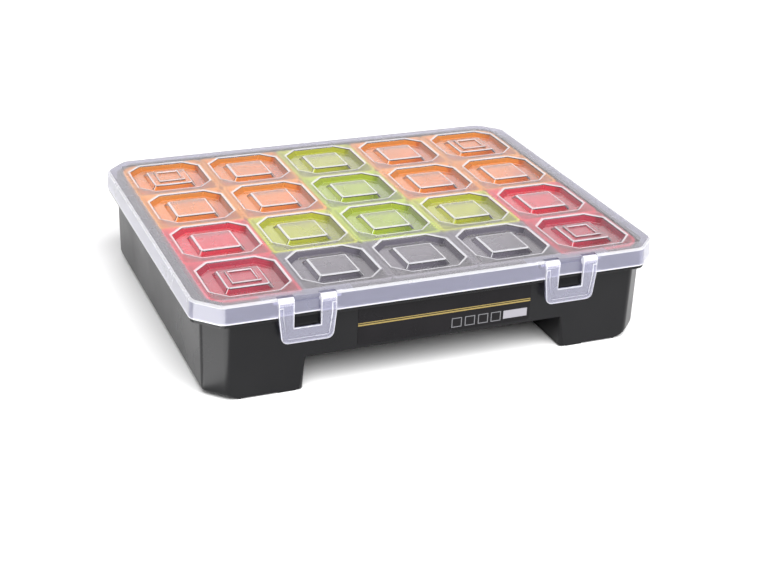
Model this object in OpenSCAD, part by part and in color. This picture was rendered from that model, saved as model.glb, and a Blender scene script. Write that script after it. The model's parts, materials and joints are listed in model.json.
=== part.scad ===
// Screw organizer case: a black tray with a hand-hold notch under its front panel, twenty loose
// bins, a clear lid with an octagonal recess over every bin, and two snap latches.
// Millimetres. The case stands on z = 0, +Z is up and the front faces -Y.

/* [Case] */
// Height from the table to the flat top of the lid
case_h = 68; // [60:1:80]
// Pitch of the bins and of the recesses in the lid
cell = 60; // [54:1:66]
// Room between the outer bins and the side walls
side_gap = 2.4; // [2.2:0.1:3.5]
// Room between the outer bins and the front and rear walls
front_gap = 3.2; // [3:0.1:6]

/* [Tray] */
// Wall of the tray
tray_wall = 1.8; // [1.4:0.1:2.2]
// Floor of the tray
tray_floor = 1.8; // [1.2:0.1:3]
// How far each wall leans in from rim to foot
tray_draft = 0.6; // [0:0.1:2]
// Chamfer of the upright corners
tray_chamfer = 13.4; // [9:0.1:14]
// Radius that softens both edges of an upright chamfer
corner_blend = 6; // [2:0.5:8]
// Rounding of the lower edges at both ends; those at the front and rear stay sharp
foot_round = 5; // [2:0.5:7]
// Height of the foot pads
pad_h = 1; // [0.5:0.1:2]
// Width of the foot pads
pad_w = 8; // [4:0.5:12]
// Gap in the pads below the middle of a corner bin
pad_gap = 24; // [16:1:30]
// Length of each corner's pads along the walls
pad_reach = 52; // [40:1:58]
// Thickness of the flange under the lid's skirt
flange_t = 1.8; // [1.2:0.1:2.4]
// Air between the tray's rim and the lid
rim_gap = 0.5; // [0.3:0.1:1]

/* [Hand hold] */
// Height of the notch above the table
hold_h = 23.5; // [15:0.5:28]
// How much each side of the notch opens towards the table
hold_draft = 1.2; // [0.6:0.1:1.5]

/* [Bins] */
// Gap between two bins at their rims
bin_gap = 0.8; // [0.6:0.1:1.6]
// Wall of a bin
bin_wall = 1.3; // [0.9:0.1:2]
// Floor of a bin
bin_floor = 1.6; // [1:0.1:2.5]
// How far each wall leans in from rim to foot
bin_draft = 3; // [2.8:0.1:4]
// Radius of the upright corners
bin_corner = 12; // [12:0.5:14]
// Rounding of the lower edges
bin_foot = 3; // [1:0.5:5]
// Drop of the bin's rim below the tray's rim
bin_drop = 0.3; // [0.1:0.1:1]

/* [Lid] */
// Thickness of the lid's top
lid_t = 1.6; // [1.2:0.1:2]
// Height of the skirt, from the flat top
skirt_h = 12.5; // [11:0.5:14]
// Thickness of the skirt
skirt_t = 1.6; // [1.2:0.1:2]
// Overhang of the skirt past the tray's side walls
side_overhang = 7; // [6:0.5:12]
// Overhang of the skirt past the tray's front and rear walls
front_overhang = 5.5; // [5:0.1:7]
// How far the skirt leans in from its lower edge to the top
lid_draft = 1; // [0.4:0.1:1.4]
// Chamfer of the lid's upright corners
lid_chamfer = 16; // [12:0.5:18]
// Radius that softens both edges of that chamfer
lid_blend = 8; // [3:0.5:10]
// Rounding of the lid's upper edge
lid_edge = 1.5; // [0.6:0.1:2]
// Air between the skirt and the tray's flange
skirt_gap = 0.3; // [0.2:0.1:0.6]

/* [Lid recesses] */
// Flat top left between a recess and the edge of its cell
recess_margin = 4.2; // [3.6:0.1:6]
// Corner cut of the octagon
recess_cut = 8.9; // [6:0.1:11]
// Depth of a recess
recess_d = 3.5; // [2.5:0.1:4.5]
// How far the recess walls lean in
recess_lean = 2.6; // [1:0.1:2.8]
// Width of the raised square in a recess
plateau_w = 27; // [22:0.5:30]
// Corner cut of the raised square
plateau_cut = 1.2; // [1:0.1:4]
// Height of the raised square above the recess floor
plateau_h = 2.8; // [2:0.1:3.2]
// How far the walls of the raised square lean in
plateau_lean = 2.4; // [1:0.1:2.8]
// Outer width of the locating ring on the corner squares
ring_w = 19; // [14:0.5:20]
// Width of the ring's bead
ring_bead = 2.2; // [1.5:0.1:3]
// Height of the ring above the raised square
ring_h = 1.3; // [0.8:0.1:1.6]

/* [Latches] */
// Distance of each latch's middle outside the border between the outer two columns of bins
latch_shift = 1; // [-20:0.5:8]
// Width of a latch
latch_w = 37.5; // [34:0.5:46]
// Reach of a latch below the lid's top
latch_drop = 30.5; // [28:0.5:36]
// Thickness of the latch plate
latch_t = 1.9; // [1.5:0.1:2.3]
// How much each side narrows below the skirt
latch_taper = 1.5; // [0:0.1:4]
// Radius of the lower corners
latch_corner = 4.5; // [2:0.5:6]
// Width of the window between the straps
window_w = 17.5; // [16:0.5:20]
// Lower edge of the window below the lid's top
window_drop = 20.5; // [20:0.1:22]
// Height of the raised rim on the latch plate
latch_rim = 0.6; // [0.3:0.1:1]
// Width of that rim
latch_rim_w = 3.2; // [2:0.1:4]
// How far the skirt steps back behind a latch
latch_setback = 2.5; // [2.2:0.1:2.8]
// Room between the stepped-back skirt and the latch plate
latch_gap = 1.1; // [1:0.1:1.2]
// Radius of the knuckle at the top of each strap
knuckle_r = 2.6; // [2.4:0.1:2.7]
// Radius of the pivot stubs
stub_r = 0.9; // [0.7:0.05:1.1]
// Length of the pivot stubs
stub_len = 3; // [2:0.1:4]
// Clearance around a strap in its pocket
strap_clear = 0.35; // [0.25:0.05:0.5]
// Width of the catch in the window
catch_w = 15; // [10:0.5:15.5]

/* [Hinge] */
// Distance of each hinge's middle outside the border between the outer two columns of bins
hinge_shift = 6; // [-20:0.5:14]
// Width of a hook on the lid
hook_w = 26; // [16:1:34]
// Wall of a hook round its pin
hook_wall = 1.9; // [1.5:0.1:2]
// Radius of the hinge pins
pin_r = 1.8; // [1.5:0.05:2]
// Width of the snap slot, less than the pin's diameter
snap_w = 3; // [2.4:0.1:3]
// Thickness of the ears that hold a pin
ear_t = 3; // [2:0.5:4]
// Gap between a hook and the ears beside it
ear_gap = 0.4; // [0.3:0.1:1]
// Distance of the hinge axis behind the tray's rear wall
hinge_out = 5; // [4.9:0.1:6]
// Room between the ears and the skirt's edge above them
hinge_room = 0.4; // [0.3:0.1:1]
// Running clearance round the pins and stubs
run_clear = 0.06; // [0.03:0.01:0.1]

/* [Label] */
// Width of the front label
label_w = 121; // [80:1:125]
// Height of the front label
label_h = 26; // [12:0.5:27]
// Distance of the label's middle to the right of the case's middle
label_x = 5; // [-5:1:5]
// Drop of the label's upper edge below the tray's rim
label_drop = 14.4; // [13.8:0.1:15]
// Thickness of the label
label_t = 0.25; // [0.15:0.05:0.5]
// Radius of the label's corners
label_corner = 1.5; // [0.5:0.5:4]

/* [Hidden] */
cols = 5;
rows = 4;
$fn = 48;

// Arc steps of a corner blend, a rounded edge and a bin's corner
blend_steps = 3;
round_steps = 3;
corner_steps = 4;

// Sink of one solid into another that it is moulded with, and reach of a cut past a face
sink = 0.5;
past = 1;

// An inset all round shortens a 45 degree chamfer by this share of it, one of an end and the chamfer
// alone lengthens it by the other share
chamfer_loss = 2 - sqrt(2);
chamfer_gain = sqrt(2) - 1;
least_chamfer = 1;

// Tray
floor_z = pad_h + tray_floor;
rim_z = case_h - lid_t - rim_gap;
tray_hx = cols * cell / 2 + side_gap + tray_wall;
tray_hy = rows * cell / 2 + front_gap + tray_wall;
lean = atan(tray_draft / (rim_z - pad_h));

// Hand hold under the front row, between its two outer bins
border_x = (cols / 2 - 1) * cell;
hold_top = border_x;
hold_foot = hold_top + hold_draft;
hold_y = -(rows / 2 - 1) * cell;
shelf_z = hold_h + tray_wall;

// Lid
skirt_z = case_h - skirt_h;
flange_z = skirt_z - skirt_gap;
lid_hx = tray_hx + side_overhang;
lid_hy = tray_hy + front_overhang;
recess_half = cell / 2 - recess_margin;
recess_slope = recess_lean / recess_d;
recess_z = case_h - recess_d;
plateau_z = recess_z + plateau_h;
plateau_slope = plateau_lean / plateau_h;

// Latches: the plate hangs in front of the stepped-back skirt
latch_x = border_x + latch_shift;
step_y = -(lid_hy - latch_setback);
plate_y = step_y - latch_gap;
plate_front = plate_y - latch_t;
pivot_y = plate_front + knuckle_r;
pivot_z = case_h - strap_clear - knuckle_r;
latch_foot = case_h - latch_drop;
window_z = case_h - window_drop;
zone_half = latch_w / 2 + strap_clear;
housing_w = stub_len + skirt_t;
catch_clear = 0.4;
catch_back = 0.5;
catch_edge = 1.2;

// Hinge: the skirt swings down close behind the ears, so these turn steep below the pin
hinge_x = border_x + hinge_shift;
ear_wall = 1.3;
ear_flat = 1;
ear_r = pin_r + ear_wall;
ear_x = hook_w / 2 + ear_gap;
hook_r = pin_r + run_clear + hook_wall;
axis_y = tray_hy + hinge_out;
axis_z = skirt_z - hinge_room - ear_r;

// Bins
bin_half = (cell - bin_gap) / 2;
bin_rim_z = rim_z - bin_drop;
bin_lean = bin_draft / (bin_rim_z - floor_z);
bin_colours = [
  ["orange", "orange", "lime", "orange", "orange"],
  ["orange", "orange", "lime", "orange", "orange"],
  ["red", "lime", "lime", "lime", "red"],
  ["red", "black", "black", "black", "red"],
];

// The latches reach further forward than the hooks reach back or the other way round: this moves
// the middle of the grid so that the middle of the whole case is at y = 0
front_reach = latch_rim - plate_front;
rear_reach = axis_y + hook_r;
grid_y = (front_reach - rear_reach) / 2;

function bin_name(row, col) = str("bin_r", row, "_c", col);

// Outlines

function arc(centre, r, from, to, steps) = [
  for (i = [0 : steps])
    let (a = from + (to - from) * i / steps)
    centre + r * [cos(a), sin(a)]
];

function flip(points, sx, sy) = [for (p = points) [sx * p[0], sy * p[1]]];

function backwards(points) = [for (i = [len(points) - 1 : -1 : 0]) points[i]];

function four_corners(q) = concat(q, backwards(flip(q, -1, 1)), flip(q, -1, -1), backwards(flip(q, 1, -1)));

// Rectangle whose chamfered corners have both edges softened, by less if the chamfer is short
function soft_outline(hx, hy, chamfer, blend) =
  let (c = max(chamfer, least_chamfer), r = min(blend, 1.5 * c), t = r * tan(22.5))
  four_corners(concat(
    arc([hx - r, hy - c - t], r, 0, 45, blend_steps),
    arc([hx - c - t, hy - r], r, 45, 90, blend_steps)
  ));

function round_outline(half, r) = four_corners(arc([half - r, half - r], r, 0, 90, corner_steps));

function octagon(half, cut) = four_corners([[half, half - cut], [half - cut, half]]);

// Tray outline drawn in all round and, at both ends and the chamfers, by a further amount
function tray_outline(inset, end_inset) =
  soft_outline(
    tray_hx - inset - end_inset,
    tray_hy - inset,
    tray_chamfer - chamfer_loss * inset + chamfer_gain * end_inset,
    corner_blend
  );

function lid_outline(inset) =
  soft_outline(lid_hx - inset, lid_hy - inset, lid_chamfer - chamfer_loss * inset, lid_blend);

// Latch plate seen from the front: straight over the skirt, narrower below it
function latch_outline(inset, top) =
  let (
    half = latch_w / 2 - inset,
    foot = half - latch_taper,
    r = max(latch_corner - inset, 1),
    low = latch_foot + inset,
    right = concat([[half, top], [half, skirt_z]], arc([foot - r, low + r], r, 0, -90, corner_steps))
  )
  concat(right, backwards(flip(right, -1, 1)));

// Solids from outlines

// Solid through a stack of outlines, each given as [z, points], from the lowest up
module loft(rings) {
  n = len(rings[0][1]);
  m = len(rings);
  sides = [
    for (k = [0 : m - 2], i = [0 : n - 1])
      let (j = (i + 1) % n)
      [k * n + i, (k + 1) * n + i, (k + 1) * n + j, k * n + j]
  ];
  low = [for (i = [0 : n - 1]) i];
  high = [for (i = [n - 1 : -1 : 0]) (m - 1) * n + i];
  polyhedron([for (r = rings, p = r[1]) [p[0], p[1], r[0]]], concat([low], sides, [high]));
}

// Outline in Y and Z, drawn along X about the middle
module along_x(length) {
  rotate([90, 0, 90]) linear_extrude(length, center = true) children();
}

// Outline in X and Z, drawn from y towards the front
module towards_front(y, length) {
  translate([0, y, 0]) rotate([90, 0, 0]) linear_extrude(length) children();
}

module box(low, high) {
  translate(low) cube(high - low);
}

// Octagonal frustum whose half width is given at its lower and upper ends
module frustum(low_z, high_z, low_half, high_half, cut) {
  translate([0, 0, low_z])
    linear_extrude(high_z - low_z, scale = high_half / low_half)
      polygon(octagon(low_half, cut));
}

module in_case() {
  translate([0, grid_y, 0]) children();
}

module at_cell(row, col) {
  translate([(col - (cols + 1) / 2) * cell, ((rows + 1) / 2 - row) * cell, 0]) children();
}

module each_cell() {
  for (row = [1 : rows], col = [1 : cols]) at_cell(row, col) children();
}

module corner_cells() {
  for (row = [1, rows], col = [1, cols]) at_cell(row, col) children();
}

module both_sides(x) {
  for (side = [-1, 1]) translate([side * x, 0, 0]) children();
}

// Tray

function tray_inset(z) = tray_draft * (rim_z - z) / (rim_z - pad_h);

// Stack of tray outlines from low_z, where both ends are rounded, up to high_z
function tray_rings(low_z, high_z, wall, r) = concat(
  [
    for (i = [0 : round_steps])
      let (a = 90 * i / round_steps, z = low_z + r * (1 - cos(a)))
      [z, tray_outline(wall + tray_inset(z), r * (1 - sin(a)))]
  ],
  [[high_z, tray_outline(wall + tray_inset(high_z), 0)]]
);

module hold_section(grow, low_z) {
  high_z = hold_h + grow;
  polygon([
    [-hold_foot - grow, low_z],
    [hold_foot + grow, low_z],
    [hold_top + grow, high_z],
    [-hold_top - grow, high_z],
  ]);
}

// Raised floor and step walls round the hand hold, inside the tray
module hold_shelf() {
  intersection() {
    loft(tray_rings(pad_h, rim_z, sink, foot_round));
    towards_front(hold_y + tray_wall, tray_hy) hold_section(tray_wall, pad_h);
  }
}

module flange() {
  step = step_y + skirt_gap;
  translate([0, 0, flange_z - flange_t])
    linear_extrude(flange_t)
      difference() {
        polygon(lid_outline(skirt_t / 2));
        both_sides(latch_x) translate([-zone_half, -2 * lid_hy]) square([2 * zone_half, 2 * lid_hy + step]);
        both_sides(hinge_x) translate([-ear_x, tray_hy]) square([2 * ear_x, tray_hy]);
      }
}

// Wedge behind the window of a latch: the cross bar snaps under its lower edge
module catch() {
  tip = plate_y + catch_back;
  low_z = window_z + catch_clear;
  high_z = flange_z - flange_t / 2;
  root = -tray_hy + tray_wall;
  along_x(catch_w) polygon([
    [root, low_z],
    [tip, low_z],
    [tip, low_z + catch_edge],
    [(tip - tray_hy) / 2, high_z],
    [root, high_z],
  ]);
}

// Two ears on the rear wall with a pin between them
module hinge_ears() {
  reach = 2 * ear_x + 2 * ear_t;
  root = tray_hy - tray_wall - axis_y;
  translate([0, axis_y, axis_z]) {
    both_sides(ear_x + ear_t / 2) along_x(ear_t) {
      circle(ear_r);
      polygon([[root, ear_r], [0, ear_r], [0, -ear_r], [-ear_flat, -ear_r], [root, root + ear_flat - ear_r]]);
    }
    rotate([0, 90, 0]) cylinder(r = pin_r, h = reach - ear_t, center = true);
  }
}

// Pads at the four corners, open below the middle of each corner bin
module foot_pads() {
  pad_inset = tray_draft + sink;
  pad_hx = tray_hx - pad_inset - foot_round;
  pad_hy = tray_hy - pad_inset;
  high = pad_h + sink;
  difference() {
    linear_extrude(high) polygon(tray_outline(pad_inset, foot_round));
    translate([0, 0, -past])
      linear_extrude(high + 2 * past)
        polygon(tray_outline(pad_inset + pad_w, foot_round));
    cross_cut(2 * (pad_hx - pad_reach), 2 * (pad_hy - pad_reach));
    for (side = [-1, 1])
      translate([side * (cols - 1) / 2 * cell, side * (rows - 1) / 2 * cell, 0]) cross_cut(pad_gap, pad_gap);
  }
}

// Cut along Y of one width and along X of another, right across the underside
module cross_cut(along_y_w, along_x_w) {
  reach = 2 * tray_hx;
  box([-along_y_w / 2, -reach, -past], [along_y_w / 2, reach, pad_h + past]);
  box([-reach, -along_x_w / 2, -past], [reach, along_x_w / 2, pad_h + past]);
}

module base_tray() {
  color("#262626") in_case() {
    difference() {
      union() {
        difference() {
          union() {
            loft(tray_rings(pad_h, rim_z, 0, foot_round));
            flange();
          }
          loft(tray_rings(floor_z, rim_z + past, tray_wall, foot_round - tray_wall));
        }
        hold_shelf();
      }
      towards_front(hold_y, 2 * tray_hy) hold_section(0, -past);
    }
    foot_pads();
    both_sides(latch_x) catch();
    both_sides(hinge_x) hinge_ears();
  }
}

// Lid

function lid_inset(z) = lid_draft * (z - skirt_z) / skirt_h;

module lid_outer() {
  edge_z = case_h - lid_edge;
  loft(concat(
    [[skirt_z, lid_outline(0)]],
    [
      for (i = [0 : round_steps])
        let (a = 90 * i / round_steps, z = edge_z + lid_edge * sin(a))
        [z, lid_outline(lid_inset(z) + lid_edge * (1 - cos(a)))]
    ]
  ));
}

module lid_hollow() {
  low_z = skirt_z - past;
  high_z = case_h - lid_t;
  loft([for (z = [low_z, high_z]) [z, lid_outline(skirt_t + lid_inset(z))]]);
}

// Recess walls and floor as one shell hanging from the lid's top
module recess_shell() {
  low_z = recess_z - lid_t;
  high_z = case_h - lid_t / 2;
  function half(z) = recess_half + lid_t - recess_slope * (case_h - z);
  frustum(low_z, high_z, half(low_z), half(high_z), recess_cut);
}

module recess_cut_out() {
  high_z = case_h + past;
  frustum(recess_z, high_z, recess_half - recess_lean, recess_half + recess_slope * past, recess_cut);
}

// Frustum of the raised square, drawn in by a wall
module plateau(low_z, high_z, wall) {
  function half(z) = plateau_w / 2 - wall + plateau_slope * (plateau_z - z);
  frustum(low_z, high_z, half(low_z), half(high_z), plateau_cut);
}

module locating_ring() {
  translate([0, 0, plateau_z - sink])
    linear_extrude(ring_h + sink)
      difference() {
        square(ring_w, center = true);
        square(ring_w - 2 * ring_bead, center = true);
      }
}

// Skirt stepped back behind a latch, with a housing for a pivot stub at each end
module latch_housing() {
  half = zone_half + housing_w;
  deep = pivot_y + stub_r + skirt_t;
  low = pivot_z - stub_r - skirt_t;
  box([-half, -lid_hy, skirt_z], [half, step_y + skirt_t, case_h]);
  both_sides(zone_half + housing_w / 2)
    box([-housing_w / 2, -lid_hy, low], [housing_w / 2, deep, case_h]);
}

// Room for a latch: in front of the step, round its knuckles and for its stubs
module latch_room() {
  strap_w = (latch_w - window_w) / 2 + 2 * strap_clear;
  room = knuckle_r + strap_clear;
  box([-zone_half, -2 * lid_hy, 0], [zone_half, step_y, case_h + past]);
  both_sides((latch_w + window_w) / 4)
    box([-strap_w / 2, -2 * lid_hy, pivot_z - room], [strap_w / 2, pivot_y + room, case_h + past]);
  translate([0, pivot_y, pivot_z])
    rotate([0, 90, 0])
      cylinder(r = stub_r + run_clear, h = latch_w + 2 * (stub_len + strap_clear), center = true);
}

// Snap hook that hangs from the rear skirt and grips a hinge pin
module hinge_hook() {
  translate([0, axis_y, axis_z])
    difference() {
      union() {
        rotate([0, 90, 0]) cylinder(r = hook_r, h = hook_w, center = true);
        box([-hook_w / 2, -hook_wall, 0], [hook_w / 2, hook_wall, case_h - axis_z - skirt_h / 2]);
      }
      rotate([0, 90, 0]) cylinder(r = pin_r + run_clear, h = hook_w + past, center = true);
      box([-hook_w, -snap_w / 2, -2 * hook_r], [hook_w, snap_w / 2, 0]);
    }
}

module lid() {
  color("#cdcbe0") in_case() {
    difference() {
      union() {
        difference() {
          union() {
            difference() {
              lid_outer();
              lid_hollow();
            }
            intersection() {
              lid_outer();
              both_sides(latch_x) latch_housing();
            }
            each_cell() recess_shell();
          }
          each_cell() recess_cut_out();
        }
        each_cell() plateau(recess_z - sink, plateau_z, 0);
        corner_cells() locating_ring();
      }
      each_cell() plateau(recess_z - lid_t - past, plateau_z - lid_t, lid_t);
      both_sides(latch_x) latch_room();
    }
    both_sides(hinge_x) hinge_hook();
  }
}

// Latches

module latch(side) {
  strap_w = (latch_w - window_w) / 2;
  color("#d6d4ea") in_case() translate([side * latch_x, 0, 0]) {
    difference() {
      union() {
        towards_front(plate_y, latch_t) polygon(latch_outline(0, pivot_z));
        towards_front(plate_y - latch_t / 2, latch_t / 2 + latch_rim)
          difference() {
            polygon(latch_outline(0, pivot_z - knuckle_r));
            polygon(latch_outline(latch_rim_w, case_h));
          }
      }
      box([-window_w / 2, -2 * lid_hy, window_z], [window_w / 2, 0, case_h]);
    }
    translate([0, pivot_y, pivot_z]) {
      both_sides((latch_w + window_w) / 4)
        rotate([0, 90, 0]) cylinder(r = knuckle_r, h = strap_w, center = true);
      both_sides((latch_w + stub_len) / 2)
        rotate([0, 90, 0]) cylinder(r = stub_r, h = stub_len + sink, center = true);
    }
  }
}

module latch_left() {
  latch(-1);
}

module latch_right() {
  latch(1);
}

// Label

module front_label() {
  half = [label_w / 2 - label_corner, label_h / 2 - label_corner];
  color("#1b1a1f") in_case()
    translate([label_x, -tray_hy, rim_z])
      rotate([90 + lean, 0, 0])
        translate([0, -label_drop - label_h / 2, 0])
          linear_extrude(label_t)
            polygon(four_corners(arc(half, label_corner, 0, 90, corner_steps)));
}

// Bins

function is_shallow(row, col) = row == rows && col > 1 && col < cols;

function bin_foot_z(row, col) = is_shallow(row, col) ? shelf_z : floor_z;

function bin_shade(name) =
  name == "orange" ? "#f08a3c" :
  name == "lime" ? "#b5d334" :
  name == "red" ? "#e5364a" :
  "#2b2b2b";

// Stack of outlines of a bin, drawn in by a wall, from a rounded foot up to high_z
function bin_rings(low_z, high_z, wall) = [
  for (level = [[low_z, bin_foot], [low_z + bin_foot, 0], [high_z, 0]])
    let (inset = wall + level[1] + bin_lean * (bin_rim_z - level[0]))
    [level[0], round_outline(bin_half - inset, bin_corner - wall - level[1])]
];

module bin(row, col) {
  foot_z = bin_foot_z(row, col);
  color(bin_shade(bin_colours[row - 1][col - 1])) in_case() at_cell(row, col)
    difference() {
      loft(bin_rings(foot_z, bin_rim_z, 0));
      loft(bin_rings(foot_z + bin_floor, bin_rim_z + past, bin_wall));
    }
}

base_tray();
lid();
latch_left();
latch_right();
front_label();
for (row = [1 : rows], col = [1 : cols])
  bin(row, col);
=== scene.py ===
# %% [markdown]
# # A screw organizer case
# A black tray with a hand-hold notch, twenty loose bins, a milky clear lid with a recess over every
# bin, and two clear latches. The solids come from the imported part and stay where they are. This
# lesson rounds their edges, builds the bins afresh, and gives every surface its finish.

# %% Load the parts
import json
import math

import bmesh
import bpy
from mathutils import Matrix, Quaternion, Vector


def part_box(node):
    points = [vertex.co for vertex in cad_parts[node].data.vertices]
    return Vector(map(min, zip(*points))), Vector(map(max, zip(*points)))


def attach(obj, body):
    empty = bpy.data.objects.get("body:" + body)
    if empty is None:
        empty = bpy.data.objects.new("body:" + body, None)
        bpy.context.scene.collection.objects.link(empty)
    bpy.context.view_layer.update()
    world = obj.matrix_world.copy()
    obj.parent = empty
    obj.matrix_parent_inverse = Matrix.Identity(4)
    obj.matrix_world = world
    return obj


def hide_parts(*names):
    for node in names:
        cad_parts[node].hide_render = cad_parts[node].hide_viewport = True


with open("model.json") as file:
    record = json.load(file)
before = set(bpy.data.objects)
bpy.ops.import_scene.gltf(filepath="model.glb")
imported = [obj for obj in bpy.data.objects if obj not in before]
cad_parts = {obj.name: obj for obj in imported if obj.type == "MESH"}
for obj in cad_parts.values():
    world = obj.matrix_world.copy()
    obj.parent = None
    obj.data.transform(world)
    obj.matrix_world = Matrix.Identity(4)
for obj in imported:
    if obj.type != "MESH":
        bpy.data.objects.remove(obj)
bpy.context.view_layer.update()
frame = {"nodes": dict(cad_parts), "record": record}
parts = frame["nodes"]
mm = 0.001

# %% [markdown]
# ## Camera
# The case was photographed from the front, a little from the left and from above. The place and the
# lens below were solved from the grid of recesses in the lid, which is a known flat pattern. A
# camera looks along its own -Z axis, so its turn is built from the direction back to the lens.

# %% Camera
def put_in_scene(name, data):
    """New object with this data, linked into the scene."""
    ob = bpy.data.objects.new(name, data)
    bpy.context.scene.collection.objects.link(ob)
    return ob


azimuth, elevation, roll = (math.radians(a) for a in (-22.73, 25.29, 2.09))
towards_lens = Vector((
    math.sin(azimuth) * math.cos(elevation),
    -math.cos(azimuth) * math.cos(elevation),
    math.sin(elevation),
))
lens = bpy.data.cameras.new("camera")
lens.sensor_width = 36
lens.lens = 70.42
camera = put_in_scene("camera", lens)
camera.location = (-0.36520, -0.89773, 0.45946)
camera.rotation_mode = "QUATERNION"
camera.rotation_quaternion = (-towards_lens).to_track_quat("-Z", "Y") @ Quaternion((0, 0, 1), roll)
bpy.context.scene.camera = camera
print("camera at", [round(x, 3) for x in camera.location])

# %% [markdown]
# ## Floor and sky
# The case stands on a white floor that runs out of view, under a pale even sky. The floor is only a
# stage and no part of the case. A number that holds for a whole surface goes straight on the
# shader's socket.

# %% Floor and sky
def shader(name):
    """A new material, its node tree and its Principled node."""
    mat = bpy.data.materials.new(name)
    mat.use_nodes = True
    return mat, mat.node_tree, mat.node_tree.nodes["Principled BSDF"]


def dial(node, values):
    """Set sockets of a node by their names."""
    for name, value in values.items():
        node.inputs[name].default_value = value


floor_mesh = bpy.data.meshes.new("floor")
bm = bmesh.new()
bmesh.ops.create_grid(bm, x_segments=1, y_segments=1, size=6)
bm.to_mesh(floor_mesh)
bm.free()
floor = put_in_scene("floor", floor_mesh)
floor_finish, _, surface = shader("pale_floor")
dial(surface, {"Base Color": (0.9, 0.9, 0.9, 1), "Roughness": 0.6})
floor_mesh.materials.append(floor_finish)

sky = bpy.data.worlds.new("sky")
bpy.context.scene.world = sky
sky.use_nodes = True
dial(sky.node_tree.nodes["Background"], {"Color": (1, 1, 1, 1), "Strength": 0.28})
print("stage:", floor.name, "and", sky.name)

# %% [markdown]
# ## Lights
# The main soft box stands high in front, so its light falls through the lid onto the walls that the
# lens sees; it is kept out of mirror images, as a studio flag would do. The lid lies flat and mirrors
# what stands low behind the case: a wide dim box there gives its lands a pale sheen. Two smaller
# boxes light the left and right ends, and a card on the floor shows in the near corner.

# %% Lights
def soft_box(name, place, aim, wide, high, watts, tint=(1, 1, 1), lights=True, mirrored=True):
    """Area lamp that faces its aim and that the lens itself doesn't see."""
    lamp = bpy.data.lights.new(name, "AREA")
    lamp.shape = "RECTANGLE"
    lamp.size, lamp.size_y = wide, high
    lamp.energy = watts
    lamp.color = tint
    ob = put_in_scene(name, lamp)
    ob.location = place
    ob.rotation_mode = "QUATERNION"
    ob.rotation_quaternion = (Vector(aim) - Vector(place)).to_track_quat("-Z", "Y")
    ob.visible_camera = False
    ob.visible_diffuse = lights
    ob.visible_glossy = mirrored
    ob.visible_transmission = lights and mirrored


soft_box("main_box", (-0.1, -1.7, 2.4), (0, 0, 0), wide=3, high=3, watts=188, mirrored=False)
soft_box("back_box", (0.1, 1.6, 0.75), (0, 0, 0.05), wide=2.6, high=1.1, watts=6, tint=(1, 0.95, 1))
soft_box("left_box", (-1.5, 0.1, 0.6), (0, 0, 0.05), wide=1.2, high=1.2, watts=3.5, mirrored=False)
soft_box(
    "corner_card", (-0.36, -0.28, 0.002), (-0.36, -0.28, 1),
    wide=0.40, high=0.34, watts=2.2, lights=False,
)
soft_box("right_box", (0.8, -0.75, 0.4), (0.16, 0, 0.05), wide=0.5, high=0.5, watts=2.5, mirrored=False)
bpy.context.scene.view_settings.view_transform = "Standard"
print("lights: four soft boxes and a card")

# %% [markdown]
# ## Tools for the finishes
# All finishes read Object coordinates. Every object sits at the origin with its place in its mesh,
# so these are metres in the case's own frame and a pattern keeps its true size on every piece. A
# noise seldom reaches its ends, so only its middle range is spread over the wanted values.

# %% Node helpers
noise_low, noise_high = 0.3, 0.7


def add(tree, kind, **settings):
    """New node with these settings."""
    node = tree.nodes.new(kind)
    for key, value in settings.items():
        setattr(node, key, value)
    return node


def noise(tree, size, detail):
    """Noise whose features are about this many metres across; its factor socket."""
    where = add(tree, "ShaderNodeTexCoord")
    tex = add(tree, "ShaderNodeTexNoise")
    dial(tex, {"Scale": 1 / size, "Detail": detail})
    tree.links.new(where.outputs["Object"], tex.inputs["Vector"])
    return tex.outputs["Fac"]


def spread(tree, factor, low, high):
    """The factor's middle range mapped to low and high."""
    node = add(tree, "ShaderNodeMapRange")
    dial(node, {"From Min": noise_low, "From Max": noise_high, "To Min": low, "To Max": high})
    tree.links.new(factor, node.inputs["Value"])
    return node.outputs["Result"]


def two_tones(tree, factor, dark, light):
    """The factor's middle range as a blend of two colours."""
    node = add(tree, "ShaderNodeValToRGB")
    stops = zip(node.color_ramp.elements, (noise_low, noise_high), (dark, light))
    for stop, position, colour in stops:
        stop.position = position
        stop.color = (*colour, 1)
    tree.links.new(factor, node.inputs["Fac"])
    return node.outputs["Color"]


def grain(tree, height, depth, surface):
    """Bump of this depth in metres from a height factor."""
    node = add(tree, "ShaderNodeBump")
    dial(node, {"Strength": 1, "Distance": depth})
    tree.links.new(height, node.inputs["Height"])
    tree.links.new(node.outputs["Normal"], surface.inputs["Normal"])


print("noise factors are used from", noise_low, "to", noise_high)

# %% [markdown]
# ## Moulded black plastic
# The tray is polypropylene from a mould with a fine spark-eroded texture: satin, never quite even.
# A fine noise gives the texture, and a broad one shifts shade and gloss a little as flow does.

# %% Black tray finish
def satin_plastic(name, dark, light, rough, depth, gloss):
    """Moulded plastic between two shades, with a fine texture of this depth."""
    mat, tree, surface = shader(name)
    flow = noise(tree, 50 * mm, 3)
    tree.links.new(two_tones(tree, flow, dark, light), surface.inputs["Base Color"])
    tree.links.new(spread(tree, flow, rough - 0.05, rough + 0.05), surface.inputs["Roughness"])
    dial(surface, {"Specular IOR Level": gloss})
    grain(tree, noise(tree, 0.7 * mm, 1), depth, surface)
    return mat


tray_finish = satin_plastic(
    "tray_black", (0.005, 0.005, 0.006), (0.008, 0.008, 0.009), rough=0.3, depth=0.02 * mm, gloss=0.2,
)
print("finish:", tray_finish.name)

# %% [markdown]
# ## Milky clear plastic
# The lid and latches are unpigmented polypropylene. It lets most light through but scatters it, so
# near things show in colour and far things blur. Rough transmission does that; a share of plain
# diffuse makes it milky. Lamps would not reach the bins through such a shell, so their rays pass
# straight through it.

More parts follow.
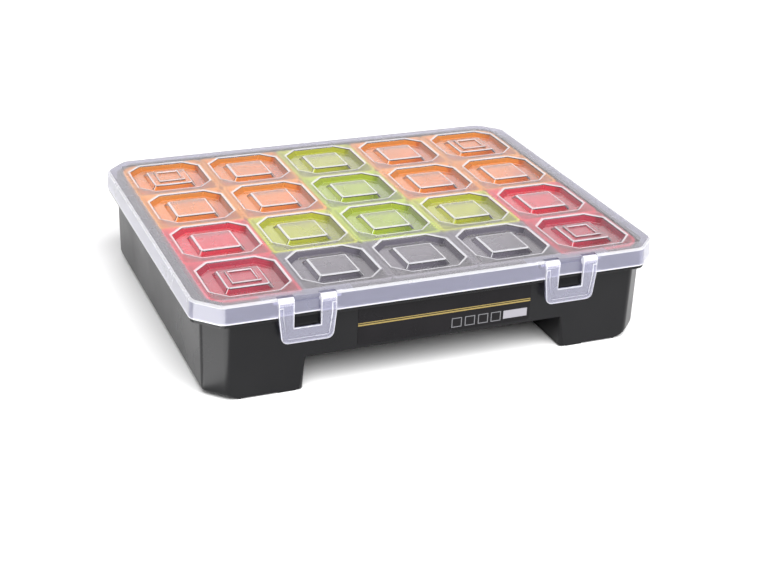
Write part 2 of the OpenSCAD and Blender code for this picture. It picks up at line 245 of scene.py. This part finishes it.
# %% Clear finish
def milky_plastic(name, tint, clear, rough, coat=1.0, gloss=0.5):
    """Clear plastic with a faint haze that lets the rays of lamps pass."""
    mat, tree, surface = shader(name)
    dial(surface, {
        "Base Color": (*tint, 1), "Transmission Weight": clear, "IOR": 1.49,
        "Specular IOR Level": gloss, "Coat Weight": coat, "Coat Roughness": 0.08,
    })
    haze = noise(tree, 30 * mm, 2)
    tree.links.new(spread(tree, haze, rough - 0.04, rough + 0.04), surface.inputs["Roughness"])
    grain(tree, noise(tree, 6 * mm, 2), 0.03 * mm, surface)
    rays = add(tree, "ShaderNodeLightPath")
    gap = add(tree, "ShaderNodeBsdfTransparent")
    dial(gap, {"Color": (0.98, 0.97, 0.99, 1)})
    either = add(tree, "ShaderNodeMixShader")
    tree.links.new(rays.outputs["Is Shadow Ray"], either.inputs["Fac"])
    tree.links.new(surface.outputs["BSDF"], either.inputs[1])
    tree.links.new(gap.outputs["BSDF"], either.inputs[2])
    tree.links.new(either.outputs["Shader"], tree.nodes["Material Output"].inputs["Surface"])
    return mat


# The latch's darker lavender tint is painted shade on its upright plates.
latch_painted_shade = milky_plastic("latch_painted_shade", (0.50, 0.50, 0.64), clear=0.8, rough=0.25)
print("finish:", latch_painted_shade.name)

# %% [markdown]
# ## One plastic, seven finishes
# The lid is one moulding, yet its faces differ. The mould is etched fine where the lid is flat and
# polished on the recess walls and underneath. The skirt is seen along its own thickness and looks
# milky; its dark tint, like the one on the pockets and the recess walls, is painted shade. Edges and
# crests get a whiter, less clear tint, a painted highlight for the bright lines that light draws on
# them, and the border outside the grid a paler tint, a painted sheen. Each finish is the same plastic
# with its own tint, clear share, roughness and gloss.

# %% Finishes of the lid and latches
FLAT, SKIRT, PAINTED_HIGHLIGHT, SHADED_WALL, LAND, BORDER, UNDER = range(7)
lid_finishes = [
    milky_plastic("lid_clear", (0.90, 0.89, 0.92), clear=0.98, rough=0.26),
    # The skirt's dark lavender tint is painted shade; its diffuse share makes it milky.
    milky_plastic("skirt_milky_painted_shade", (0.40, 0.40, 0.55), clear=0.8, rough=0.3),
    # Whiter, less clear tint: painted highlight for the bright lines on edges and crests.
    milky_plastic("edge_painted_highlight", (0.92, 0.92, 0.96), clear=0.57, rough=0.3),
    # Darker tint: painted shade on the recess walls, which are also polished.
    milky_plastic("lid_wall_painted_shade", (0.45, 0.43, 0.49), clear=0.94, rough=0.15, coat=0.3),
    milky_plastic("lid_land", (1.0, 1.0, 1.0), clear=0.98, rough=0.3, coat=0.3, gloss=0.4),
    # Paler, milkier tint: painted sheen on the border outside the grid.
    milky_plastic("lid_border_painted_sheen", (0.80, 0.80, 0.88), clear=0.9, rough=0.26),
    milky_plastic("lid_underside", (1.0, 1.0, 1.0), clear=1.0, rough=0.12, coat=0.0, gloss=0.08),
]
# The latches' edges and knuckles take the lid's painted highlight.
PLATE_PAINTED_HIGHLIGHT = 1
latch_finishes = [latch_painted_shade, lid_finishes[PAINTED_HIGHLIGHT]]
print("lid finishes:", [f.name for f in lid_finishes])

# %% [markdown]
# ## Rounded copies of the solids
# A real moulding has no knife edge: each edge has a small radius that catches the light as a fine
# bright line. The solids have sharp edges and loose triangles. A copy is merged, its flat faces are
# made whole, and its sharp edges are bevelled where there is room. Every sharp edge is marked first,
# so that the ones that stay, as in small bores, are shaded crisp.

# %% Rounding helpers
weld = 0.002 * mm
flat_angle, sharp_angle = math.radians(0.3), math.radians(25)


def is_sharp(edge):
    return len(edge.link_faces) == 2 and edge.calc_face_angle() > sharp_angle


def merged_copy(part):
    """Mesh of a solid with its flat faces made whole."""
    bm = bmesh.new()
    bm.from_mesh(parts[part].data)
    bmesh.ops.remove_doubles(bm, verts=bm.verts, dist=weld)
    bmesh.ops.dissolve_limit(bm, angle_limit=flat_angle, verts=bm.verts, edges=bm.edges)
    for edge in bm.edges:
        edge.smooth = not is_sharp(edge)
    return bm


def bevel(bm, edges, radius, steps, clamp=True):
    """Round these edges; the faces that this makes."""
    return bmesh.ops.bevel(
        bm, geom=edges, offset=radius, offset_type="OFFSET", segments=steps, profile=0.5,
        affect="EDGES", clamp_overlap=clamp, material=-1,
    )["faces"]


def round_edges(bm, test, radius, steps, shortest=1 * mm, clamp=True, finish=0):
    """Round the sharp edges that pass a test; how many there were."""
    edges = [e for e in bm.edges if is_sharp(e) and e.calc_length() > shortest and test(e)]
    for face in bevel(bm, edges, radius, steps, clamp):
        face.material_index = finish
    return len(edges)


print("edges over", round(math.degrees(sharp_angle)), "degrees count as sharp")

# %% [markdown]
# ## From mesh to piece
# A finished mesh becomes an object at the origin. It rides on a body of the case and stands for one
# solid, which is then hidden. All faces are shaded smooth, and normals are weighted by area, so that
# big faces look flat and the roundings carry the turn.

# %% Piece helpers
def to_object(bm, name, finishes, body, part):
    """Mesh object at the origin that rides on a body and stands for a solid."""
    for face in bm.faces:
        face.smooth = True
    mesh = bpy.data.meshes.new(name)
    bm.to_mesh(mesh)
    bm.free()
    ob = put_in_scene(name, mesh)
    for finish in finishes:
        mesh.materials.append(finish)
    even = ob.modifiers.new("even shading", "WEIGHTED_NORMAL")
    even.weight = 100
    even.keep_sharp = True
    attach(ob, body)
    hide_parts(part)
    return ob


def middle_of(edge):
    return (edge.verts[0].co + edge.verts[1].co) / 2


def rise(edge):
    return abs(edge.verts[0].co.z - edge.verts[1].co.z)


print("piece helpers: to_object, middle_of and rise")

# %% [markdown]
# ## Tray
# The tray's outer corners at the hand hold are rounded to a few millimetres, as hands go there. Other
# edges get a small radius, apart from those next to a very short one: a bevel is held to the room at
# its tightest edge, and would shrink to nothing on all of them.

# %% Tray
hold_side_low, hold_side_high = 88 * mm, 93 * mm
hold_roof, front_face = 24 * mm, -124 * mm
room = 1.2 * mm


def at_hold(edge):
    """Upright edge between the front panel's face and a side of the hand hold."""
    co = middle_of(edge)
    upright = rise(edge) > 0.8 * edge.calc_length()
    at_side = hold_side_low < abs(co.x) < hold_side_high
    return upright and at_side and co.y < front_face and co.z < hold_roof


def has_room(edge):
    """Edge whose neighbours are all long enough for a radius."""
    return all(e.calc_length() > room for v in edge.verts for e in v.link_edges)


bm = merged_copy("base_tray")
hold_edges = round_edges(bm, at_hold, 3 * mm, 4, shortest=8 * mm)
other_edges = round_edges(bm, has_room, 0.5 * mm, 2, shortest=4 * mm)
tray = to_object(bm, "tray_skin", [tray_finish], "base", "base_tray")
print("tray:", len(tray.data.polygons), "faces,", hold_edges, "hand hold edges,", other_edges, "others")

# %% [markdown]
# ## Lid, scored
# The lid's pattern gives it its look: every edge of a recess shows as a bright line. A flat face with
# holes in it bevels badly, so the copy is first scored along the middle lines and borders of all
# cells. No face then goes round a recess, and each edge can be rounded cleanly. Flat edges that the
# scoring left over are dissolved again.

# %% Score the lid
cell, columns, rows = 60 * mm, 5, 4
grid_y = -1.08 * mm
score_x = [i * cell / 2 for i in range(-columns, columns + 1)]
score_y = [grid_y + j * cell / 2 for j in range(-rows, rows + 1)]
micron = 0.001 * mm


def score(bm, point, normal):
    """Cut all faces along a plane and keep both sides."""
    geom = [*bm.verts, *bm.edges, *bm.faces]
    bmesh.ops.bisect_plane(bm, geom=geom, dist=micron, plane_co=point, plane_no=normal)


def is_score(edge):
    a, b = (v.co for v in edge.verts)
    along_y = any(abs(a.x - x) < micron and abs(b.x - x) < micron for x in score_x)
    along_x = any(abs(a.y - y) < micron and abs(b.y - y) < micron for y in score_y)
    return along_x or along_y


def is_flat(edge):
    return len(edge.link_faces) == 2 and edge.calc_face_angle() < flat_angle


bm = merged_copy("lid")
for normal, places in (((1, 0, 0), score_x), ((0, 1, 0), score_y)):
    for place in places:
        score(bm, Vector(normal) * place, normal)
left_over = [e for e in bm.edges if is_flat(e) and not is_score(e)]
bmesh.ops.dissolve_edges(bm, edges=left_over, use_verts=True)
print("scored lid:", len(bm.faces), "faces")

# %% [markdown]
# ## Lid, sorted by finish
# Each face gets its finish from where it lies and how it leans: the skirt and the latch pockets, the
# underside, the leaning walls, and the level lands inside and outside the grid. The small cut corners
# of the raised squares are so narrow that they get the painted highlight of the edges.

# %% Sort the faces of the lid
land_z, square_z, ring_z, rounding_z = 68 * mm, 67.3 * mm, 68.6 * mm, 66 * mm
near, touching = 0.1 * mm, 0.01 * mm
# How far a normal points up: 1 on a level face, 0 on an upright one, less than 0 underneath.
level_up, wall_up_low, wall_up_high, slight = 0.99, 0.3, 0.9, 0.2


def in_grid(co):
    return abs(co.x) < columns * cell / 2 and abs(co.y - grid_y) < rows * cell / 2


def at_rim(co):
    """Place in the skirt, its rounding or the pocket of a latch."""
    half_x, half_y, corner_cut, skirt = 161.2 * mm, 130.5 * mm, 16 * mm, 4.5 * mm
    latch_x, half_pocket = 91 * mm, 21 * mm
    dx, dy = abs(co.x) - half_x, abs(co.y - grid_y) - half_y
    by_latch = abs(abs(co.x) - latch_x) < half_pocket
    in_pocket = by_latch and co.y < front_face and co.z < land_z - near
    return in_pocket or max(dx, dy, (dx + dy + corner_cut) / math.sqrt(2)) > -skirt


def at_square_corner(face, co):
    """Narrow corner face of a raised square, told by its place in its cell and its slant."""
    half_square, slant = 17 * mm, 0.3
    x = abs((co.x + cell / 2) % cell - cell / 2)
    y = abs((co.y - grid_y) % cell - cell / 2)
    return max(x, y) < half_square and min(abs(face.normal.x), abs(face.normal.y)) > slant


def finish_of(face):
    """Place in the lid's list of finishes for a face."""
    co, up = face.calc_center_median(), face.normal.z
    if at_rim(co):
        return PAINTED_HIGHLIGHT if slight < up < level_up and co.z > rounding_z else SKIRT
    if up < -slight:
        return UNDER
    if wall_up_low < up < wall_up_high:
        # Narrow corners of the squares get the painted highlight, the walls the painted shade.
        return PAINTED_HIGHLIGHT if at_square_corner(face, co) else SHADED_WALL
    if up > level_up and abs(co.z - land_z) < touching:
        return LAND if in_grid(co) else BORDER
    return FLAT


for face in bm.faces:
    face.material_index = finish_of(face)
print("walls:", sum(f.material_index == SHADED_WALL for f in bm.faces), "faces")

# %% [markdown]
# ## Lid, painted white lines
# Where a flat wall of the moulding ends, its edge gathers light and draws a white line; here the line
# is painted. The lands get a narrow inset band along every recess, and so do the raised squares along
# their edges: inside the grid the band is a painted highlight, outside it has the border's paler tint
# of painted sheen. The squares with a locating ring have no room for it.

# %% Inset bands
def is_square_top(face):
    """Top of a raised square that carries no ring."""
    co = face.calc_center_median()
    ringed = abs(co.x) > 1.5 * cell and abs(co.y - grid_y) > cell
    return face.normal.z > level_up and abs(co.z - square_z) < touching and not ringed


land = [f for f in bm.faces if f.material_index in (LAND, BORDER)]
square = [f for f in bm.faces if is_square_top(f)]
for faces, width in ((land, 1.3 * mm), (square, 1.2 * mm)):
    band = bmesh.ops.inset_region(
        bm, faces=faces, thickness=width, use_boundary=True, use_even_offset=True,
    )["faces"]
    for face in band:
        # Bands in the grid are painted highlight; outside it they take the border's painted sheen.
        face.material_index = PAINTED_HIGHLIGHT if in_grid(face.calc_center_median()) else BORDER
    print("band of", round(width / mm, 1), "mm:", len(band), "faces")

# %% [markdown]
# ## Lid, rounded
# The crests of the lands, squares and rings are rounded first and get the painted highlight. The
# outward edges that run down the corners and the hollow ones follow. Each kind of edge has a call of
# its own, so that a tight kind doesn't hold back the others. Last come the skirt's lower edge and a
# strip above it, both with the painted highlight.

# %% Round the lid
foot_z, strip_top = 55.5 * mm, 56.5 * mm


def faces_up(edge):
    """Edge of the recess pattern on the upper side of the lid."""
    return in_grid(middle_of(edge)) and all(f.normal.z > -0.05 for f in edge.link_faces)


def at_height(edge, height):
    return all(abs(v.co.z - height) < near for v in edge.verts)


def at_foot(edge):
    """Outer lower edge of the skirt."""
    co = middle_of(edge)
    away = Vector((co.x, co.y, 0))
    outer = any(abs(f.normal.z) < 0.5 and f.normal.dot(away) > 0 for f in edge.link_faces)
    return outer and at_height(edge, foot_z)


def crest(height):
    """Test for outward edges of the pattern at a height."""
    return lambda e: faces_up(e) and e.is_convex and at_height(e, height)


def down_corner(edge):
    return faces_up(edge) and edge.is_convex and rise(edge) >= touching


def hollow(edge):
    return faces_up(edge) and not edge.is_convex


pattern_edges = round_edges(bm, crest(land_z), 0.5 * mm, 3, finish=PAINTED_HIGHLIGHT)
pattern_edges += round_edges(bm, crest(square_z), 0.6 * mm, 3, finish=PAINTED_HIGHLIGHT)
pattern_edges += round_edges(bm, crest(ring_z), 0.5 * mm, 2, finish=PAINTED_HIGHLIGHT)
pattern_edges += round_edges(bm, down_corner, 0.5 * mm, 2)
pattern_edges += round_edges(bm, hollow, 0.5 * mm, 2)
round_edges(bm, at_foot, 0.6 * mm, 3, clamp=False, finish=PAINTED_HIGHLIGHT)
score(bm, (0, 0, strip_top), (0, 0, 1))
# A strip of painted highlight above the skirt's lower edge.
for face in bm.faces:
    co = face.calc_center_median()
    if foot_z - near < co.z < strip_top and at_rim(co):
        face.material_index = PAINTED_HIGHLIGHT
lid = to_object(bm, "lid_skin", lid_finishes, "lid", "lid")
print("lid:", len(lid.data.polygons), "faces,", pattern_edges, "pattern edges")

# %% [markdown]
# ## Latches
# A latch is a flat plate with a raised rim and a window. Its plate has a darker tint of painted shade;
# its rounded edges and the solid knuckles in the lid's pockets get the painted highlight of the lid's
# edges.

# %% Latches
knuckle_z = 63 * mm
for side in ("left", "right"):
    name = f"latch_{side}"
    bm = merged_copy(name)
    # Rounded edges and knuckles of the latch get the painted highlight.
    rounded = round_edges(bm, lambda e: e.is_convex, 0.5 * mm, 3, clamp=False, finish=PLATE_PAINTED_HIGHLIGHT)
    for face in bm.faces:
        if face.calc_center_median().z > knuckle_z:
            face.material_index = PLATE_PAINTED_HIGHLIGHT
    to_object(bm, name + "_skin", latch_finishes, name, name)
    print(name + ":", rounded, "edges")

# %% [markdown]
# ## The shape of a bin
# Each bin is a thin tub that narrows to its foot so that it leaves the mould, with a rim that is turned
# out to stiffen it. A box is made, its foot drawn in and its upright and foot edges rounded. It is
# opened, its top edge is drawn out to the rim, and all of it is given a wall. The corners are tight,
# so that colour fills the cells, but wide at the tray's own chamfered corners.

# %% Tub
tight_corner, wide_corner = 2.6 * mm, 11.4 * mm
rim, foot, wall = 1.7 * mm, 3 * mm, 1.3 * mm
# The walls come in by 3 mm over the 62.8 mm of a deep bin.
lean = 3.0 / 62.8


def by_tray_corner(edge):
    co = middle_of(edge)
    return abs(co.x) > 130 * mm and abs(co.y - grid_y) > 100 * mm


def tub(low, high):
    """Open tub with a rim turned out, between two corners of its box, as a bmesh."""
    bm = bmesh.new()
    body_low, body_high = low + Vector((rim, rim, 0)), high - Vector((rim, rim, wall))
    middle, size = (body_low + body_high) / 2, body_high - body_low
    at_middle = Matrix.Translation(-middle)
    box = Matrix.Translation(middle) @ Matrix.Diagonal((*size, 1))
    bmesh.ops.create_cube(bm, size=1, matrix=box)
    bottom = [v for v in bm.verts if v.co.z < middle.z]
    narrow = 2 * (lean * (high.z - low.z) - rim)
    drawn_in = (1 - narrow / size.x, 1 - narrow / size.y, 1)
    bmesh.ops.scale(bm, vec=drawn_in, space=at_middle, verts=bottom)
    for radius, outer in ((wide_corner, True), (tight_corner, False)):
        edges = [e for e in bm.edges if rise(e) > size.z / 2 and by_tray_corner(e) == outer]
        bevel(bm, edges, radius, 7)
    base = min(bm.faces, key=lambda f: f.calc_center_median().z)
    bevel(bm, list(base.edges), foot, 3)
    top = max(bm.faces, key=lambda f: f.calc_center_median().z)
    mouth = list(top.edges)
    bmesh.ops.delete(bm, geom=[top], context="FACES_ONLY")
    drawn = bmesh.ops.extrude_edge_only(bm, edges=mouth)["geom"]
    lip = [v for v in drawn if isinstance(v, bmesh.types.BMVert)]
    drawn_out = (1 + 2 * rim / size.x, 1 + 2 * rim / size.y, 1)
    bmesh.ops.scale(bm, vec=drawn_out, space=at_middle, verts=lip)
    bmesh.ops.recalc_face_normals(bm, faces=bm.faces)
    bmesh.ops.solidify(bm, geom=list(bm.faces), thickness=-wall)
    bmesh.ops.recalc_face_normals(bm, faces=bm.faces)
    return bm


print("tub walls lean", round(math.degrees(math.atan(lean)), 1), "degrees")

# %% [markdown]
# ## Bins
# The bins are the tray's plastic in four colours, with a finer texture. Two lime bins and two red ones
# are from a batch of another shade. The three bins over the hand hold are shallower, which their
# boxes already say.

# %% Bins
bin_tones = {
    "bin_orange": ((0.86, 0.30, 0.012), (0.93, 0.34, 0.02)),
    "bin_lime": ((0.545, 0.588, 0.003), (0.605, 0.65, 0.005)),
    "bin_lime_green": ((0.465, 0.60, 0.002), (0.515, 0.66, 0.004)),
    "bin_red": ((0.76, 0.018, 0.045), (0.85, 0.028, 0.06)),
    "bin_red_deep": ((0.58, 0.020, 0.056), (0.65, 0.030, 0.074)),
    "bin_black": ((0.155, 0.145, 0.17), (0.18, 0.17, 0.2)),
}
bin_finishes = {
    name: satin_plastic(name, dark, light, rough=0.5, depth=0.01 * mm, gloss=0.25)
    for name, (dark, light) in bin_tones.items()
}
second_batch = {
    "bin_r2_c3": "bin_lime_green", "bin_r3_c3": "bin_lime_green",
    "bin_r4_c1": "bin_red_deep", "bin_r4_c5": "bin_red_deep",
}
slots = {s["node"]: s["material_slot"] for s in frame["record"]["subparts"]}
bins = sorted(n for n in parts if n.startswith("bin_"))
for part in bins:
    low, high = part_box(part)
    finish = bin_finishes[second_batch.get(part, slots[part])]
    to_object(tub(low, high), part + "_tub", [finish], "base", part)
print("bins:", len(bins))

# %% [markdown]
# ## Label
# A printed film on the front panel. The print is left off: what stays is the dark film, two plain
# gold lines across it and blank fields. They are drawn by the material, since ink has no height: each
# is a rectangle in Object coordinates that is painted over the ground.

# %% Label
def number(tree, operation, *values):
    """A Math node whose inputs are sockets or numbers; its output."""
    node = add(tree, "ShaderNodeMath", operation=operation)
    for socket, value in zip(node.inputs, values):
        if isinstance(value, (int, float)):
            socket.default_value = value
        else:
            tree.links.new(value, socket)
    return node.outputs["Value"]


def field(tree, x_low, x_high, z_low, z_high):
    """1 inside a rectangle of the front panel, given in mm, 0 elsewhere."""
    where = add(tree, "ShaderNodeTexCoord")
    apart = add(tree, "ShaderNodeSeparateXYZ")
    tree.links.new(where.outputs["Object"], apart.inputs["Vector"])
    across, up = (
        number(tree, "COMPARE", apart.outputs[axis], (low + high) / 2 * mm, (high - low) / 2 * mm)
        for axis, low, high in (("X", x_low, x_high), ("Z", z_low, z_high))
    )
    return number(tree, "MULTIPLY", across, up)


def paint(tree, under, where, colour):
    """A colour over what is under it, where a factor is 1."""
    node = add(tree, "ShaderNodeMix", data_type="RGBA")
    tree.links.new(where, node.inputs["Factor"])
    tree.links.new(under, node.inputs["A"])
    node.inputs["B"].default_value = (*colour, 1)
    return node.outputs["Result"]


gold, pale, grey = (0.28, 0.21, 0.07), (0.30, 0.29, 0.32), (0.16, 0.16, 0.17)
film, tree, surface = shader("label_film")
dial(surface, {"Specular IOR Level": 0.16})
ink = two_tones(tree, noise(tree, 20 * mm, 3), (0.004, 0.0035, 0.0045), (0.007, 0.006, 0.0075))
for z_low, z_high in ((38.9, 39.9), (40.5, 41.1)):
    ink = paint(tree, ink, field(tree, -80, 80, z_low, z_high), gold)
ink = paint(tree, ink, field(tree, 46.4, 63.6, 28.6, 34.4), pale)
frame_low, frame_high, frame_wide, line = 27.8, 34.6, 7.2, 0.6
for x_low in (9.4, 18.8, 28.2, 37.4):
    x_high = x_low + frame_wide
    outside = field(tree, x_low, x_high, frame_low, frame_high)
    inside = field(tree, x_low + line, x_high - line, frame_low + line, frame_high - line)
    ink = paint(tree, ink, number(tree, "SUBTRACT", outside, inside), grey)
tree.links.new(ink, surface.inputs["Base Color"])
tree.links.new(spread(tree, noise(tree, 10 * mm, 2), 0.26, 0.36), surface.inputs["Roughness"])
bm = merged_copy("front_label")
to_object(bm, "label_skin", [film], "base", "front_label")
print("label: film with two lines and blank fields")
